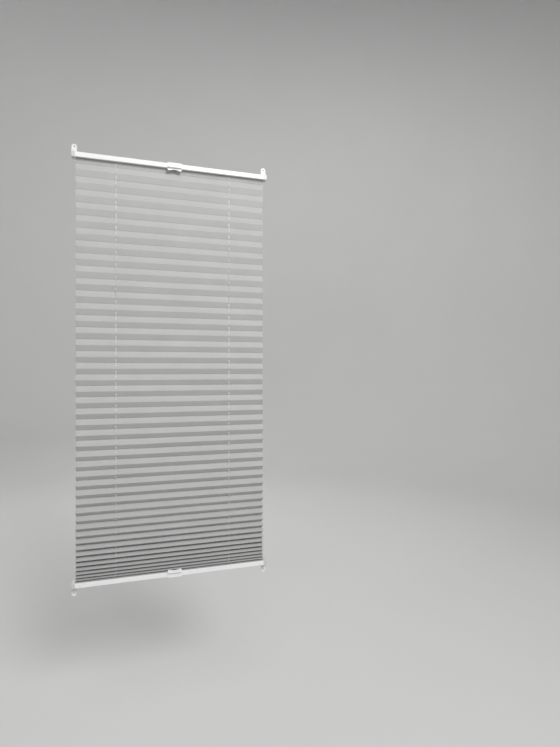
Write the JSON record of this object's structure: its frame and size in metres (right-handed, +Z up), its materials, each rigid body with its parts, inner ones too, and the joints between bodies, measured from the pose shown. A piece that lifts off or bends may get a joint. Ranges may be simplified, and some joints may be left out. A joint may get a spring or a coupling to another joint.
{
  "type": "pleated blind",
  "caption": "Free-hanging pleated blind with a movable top rail and bottom rail on tensioned cords, held by small plates on a window sash.",
  "frame": {"origin": "middle of the four screw holes of the mounting plates, on the plates' back plane, which lies on the window sash", "axes": "+X to the right along the rails, -Y out of the window into the room, +Z up"},
  "size_m": [0.56, 0.0349, 1.265],
  "materials": {
    "cloth": "matt pleated polyester, light grey",
    "rail": "white powder coat over the aluminium, satin",
    "strip": "plain white plastic",
    "grip": "white, moulded, satin",
    "cap": "pale grey, moulded",
    "plate": "white, moulded",
    "shoe": "white, moulded",
    "guide": "white, smooth",
    "tape": "foam tape, matt",
    "spring": "bright spring wire",
    "cord": "white braided polyester"
  },
  "bodies": {
    "window_mounts": {"mount_plate_bottom_left": "plate", "mount_plate_bottom_right": "plate", "mount_plate_top_left": "plate", "mount_plate_top_right": "plate", "tape_pad_bottom_left": "tape", "tape_pad_bottom_right": "tape", "tape_pad_top_left": "tape", "tape_pad_top_right": "tape", "tension_cord_left": "cord", "tension_cord_right": "cord", "tension_shoe_bottom_left": "shoe", "tension_shoe_bottom_right": "shoe", "tension_shoe_top_left": "shoe", "tension_shoe_top_right": "shoe"},
    "upper_rail": {"cloth_strip_top": "strip", "cord_guide_top_left": "guide", "cord_guide_top_right": "guide", "cord_spool_left": "guide", "cord_spool_right": "guide", "end_cap_top_left": "cap", "end_cap_top_right": "cap", "grip_top": "grip", "pleated_cloth": "cloth", "tension_spring": "spring", "top_rail": "rail"},
    "lower_rail": {"bottom_rail": "rail", "cloth_strip_bottom": "strip", "cord_guide_bottom_left": "guide", "cord_guide_bottom_right": "guide", "end_cap_bottom_left": "cap", "end_cap_bottom_right": "cap", "grip_bottom": "grip"}
  },
  "joints": [
    {"name": "top_rail_drop", "type": "slide", "parent": "window_mounts", "child": "upper_rail", "axis": [0, 0, -1], "range_m": [0, 0.369], "deforming": ["pleated_cloth", "tension_cord_left", "tension_cord_right"]},
    {"name": "bottom_rail_lift", "type": "slide", "parent": "window_mounts", "child": "lower_rail", "axis": [0, 0, 1], "range_m": [0, 0.756], "deforming": ["pleated_cloth", "tension_cord_left", "tension_cord_right"]}
  ]
}
